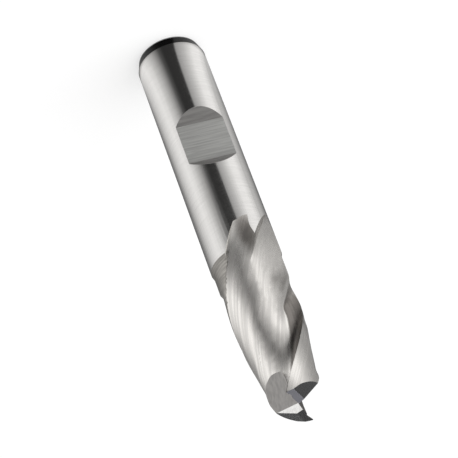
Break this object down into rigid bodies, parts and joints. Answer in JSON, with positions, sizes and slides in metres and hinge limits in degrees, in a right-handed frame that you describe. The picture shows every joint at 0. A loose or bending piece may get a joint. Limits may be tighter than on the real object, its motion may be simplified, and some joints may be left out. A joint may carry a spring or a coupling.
{
  "type": "slot drill",
  "caption": "Slot drill in bright steel: plain cylindrical shank with a clamping flat, helical flutes with long run-outs and ground end teeth that cut to the centre.",
  "frame": {"origin": "centre of the shank's end face, which the tool stands on", "axes": "+Z along the tool's axis from the shank to the teeth, clamping flat facing -Y"},
  "size_m": [0.012, 0.012, 0.0735],
  "materials": {
    "ground_steel": "ground bright high speed steel"
  },
  "bodies": {
    "root": {"slot_drill": "ground_steel"}
  },
  "joints": []
}
